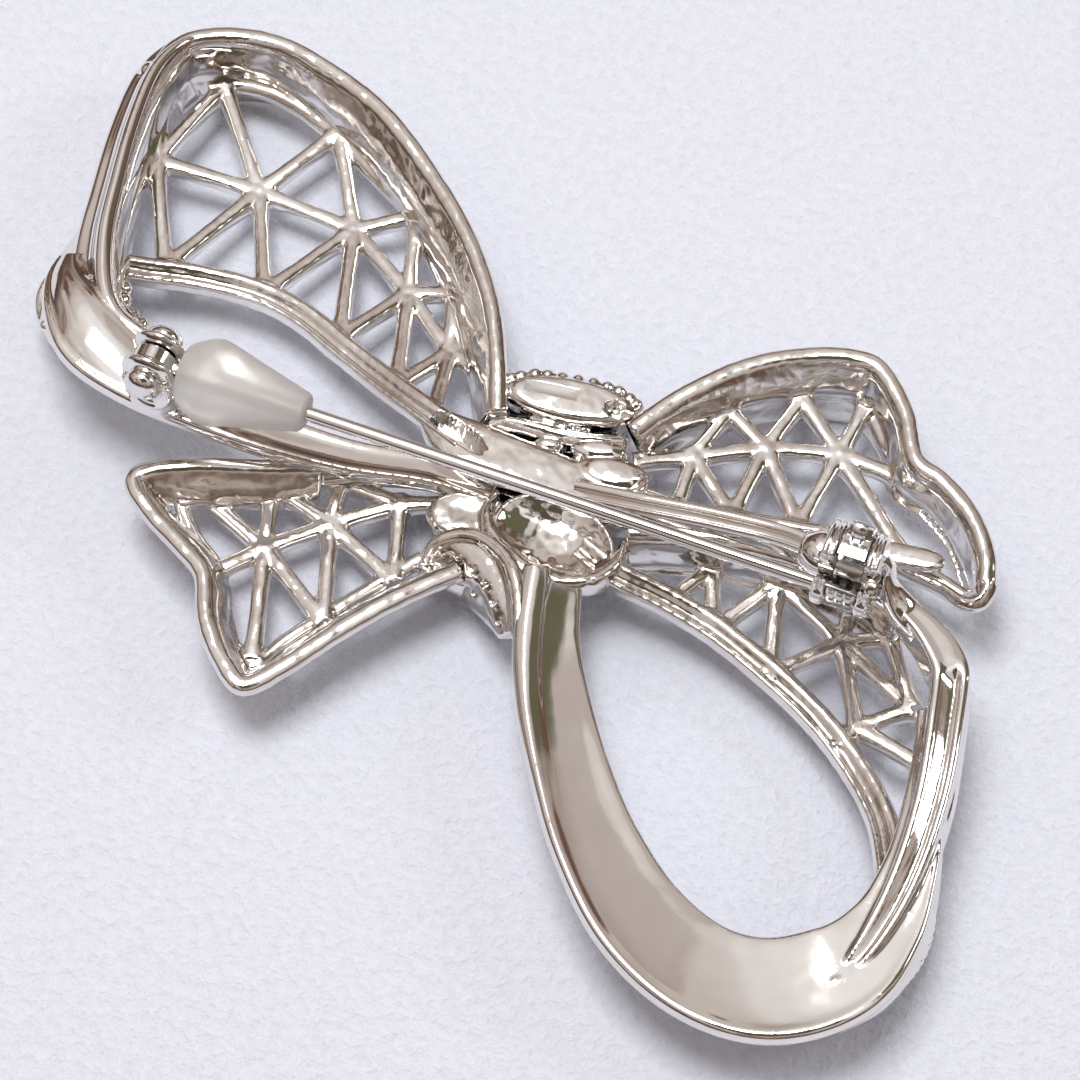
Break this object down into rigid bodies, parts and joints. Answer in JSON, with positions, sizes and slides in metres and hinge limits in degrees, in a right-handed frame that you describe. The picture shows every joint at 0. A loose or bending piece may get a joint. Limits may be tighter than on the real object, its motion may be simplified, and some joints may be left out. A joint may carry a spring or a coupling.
{
  "type": "brooch",
  "caption": "Openwork ribbon-bow brooch with a hinged pin, a sliding guard and a turning safety catch",
  "frame": {"origin": "centre of the bounding box, on the surface the brooch lies on, face down", "axes": "+X along the pin from its hinge to its catch, +Z out of the brooch's back, away from the surface it lies on"},
  "size_m": [0.0555, 0.0446, 0.0121],
  "materials": {
    "rhodium_plate": "mirror-polished rhodium-coloured plating over cast alloy",
    "pin_steel": "polished drawn wire, plated",
    "frosted_plastic": "frosted translucent plastic",
    "crystal": "clear cut glass"
  },
  "bodies": {
    "bow": {"knot_core": "rhodium_plate", "catch_body": "rhodium_plate", "hinge_bracket": "rhodium_plate", "bridge_bar": "rhodium_plate", "fold_a_tube": "rhodium_plate", "fold_b_tube": "rhodium_plate", "loop_a_band": "rhodium_plate", "loop_b_band": "rhodium_plate", "loop_a_wall": "rhodium_plate", "loop_b_wall": "rhodium_plate", "tail_c_wall": "rhodium_plate", "tail_d_wall": "rhodium_plate", "knot_wrap": "rhodium_plate", "knot_dish": "rhodium_plate", "fold_a_strip": "rhodium_plate", "fold_b_strip": "rhodium_plate", "loop_a_gallery": "rhodium_plate", "loop_b_gallery": "rhodium_plate", "tail_c_gallery": "rhodium_plate", "tail_d_gallery": "rhodium_plate", "crystal_fold_a_1": "crystal", "crystal_fold_a_2": "crystal", "crystal_fold_a_3": "crystal", "crystal_fold_a_4": "crystal", "crystal_fold_a_5": "crystal", "crystal_fold_a_6": "crystal", "crystal_fold_a_7": "crystal", "crystal_fold_b_1": "crystal", "crystal_fold_b_2": "crystal", "crystal_fold_b_3": "crystal", "crystal_fold_b_4": "crystal", "crystal_fold_b_5": "crystal", "crystal_fold_b_6": "crystal", "crystal_fold_b_7": "crystal", "crystal_knot_1_1": "crystal", "crystal_knot_1_2": "crystal", "crystal_knot_1_3": "crystal", "crystal_knot_2_1": "crystal", "crystal_knot_2_2": "crystal", "crystal_knot_2_3": "crystal", "crystal_knot_3_1": "crystal", "crystal_knot_3_2": "crystal", "crystal_knot_3_3": "crystal", "crystal_knot_4_1": "crystal", "crystal_knot_4_2": "crystal", "crystal_knot_4_3": "crystal", "hinge_rivet": "pin_steel"},
    "pin": {"pin_stem": "pin_steel"},
    "guard": {"pin_guard": "frosted_plastic"},
    "drum": {"catch_drum": "rhodium_plate"}
  },
  "joints": [
    {"name": "pin_hinge", "type": "hinge", "parent": "bow", "child": "pin", "pos_m": [-0.01792, -0.00063, 0.00884], "axis": [0, -1, 0], "range_deg": [0, 75]},
    {"name": "guard_slide", "type": "slide", "parent": "pin", "child": "guard", "axis": [1, 0, 0], "range_m": [0, 0.024]},
    {"name": "catch_turn", "type": "hinge", "parent": "bow", "child": "drum", "pos_m": [0.01823, 0.00062, 0.00939], "axis": [-1, 0, 0], "range_deg": [0, 85]}
  ]
}
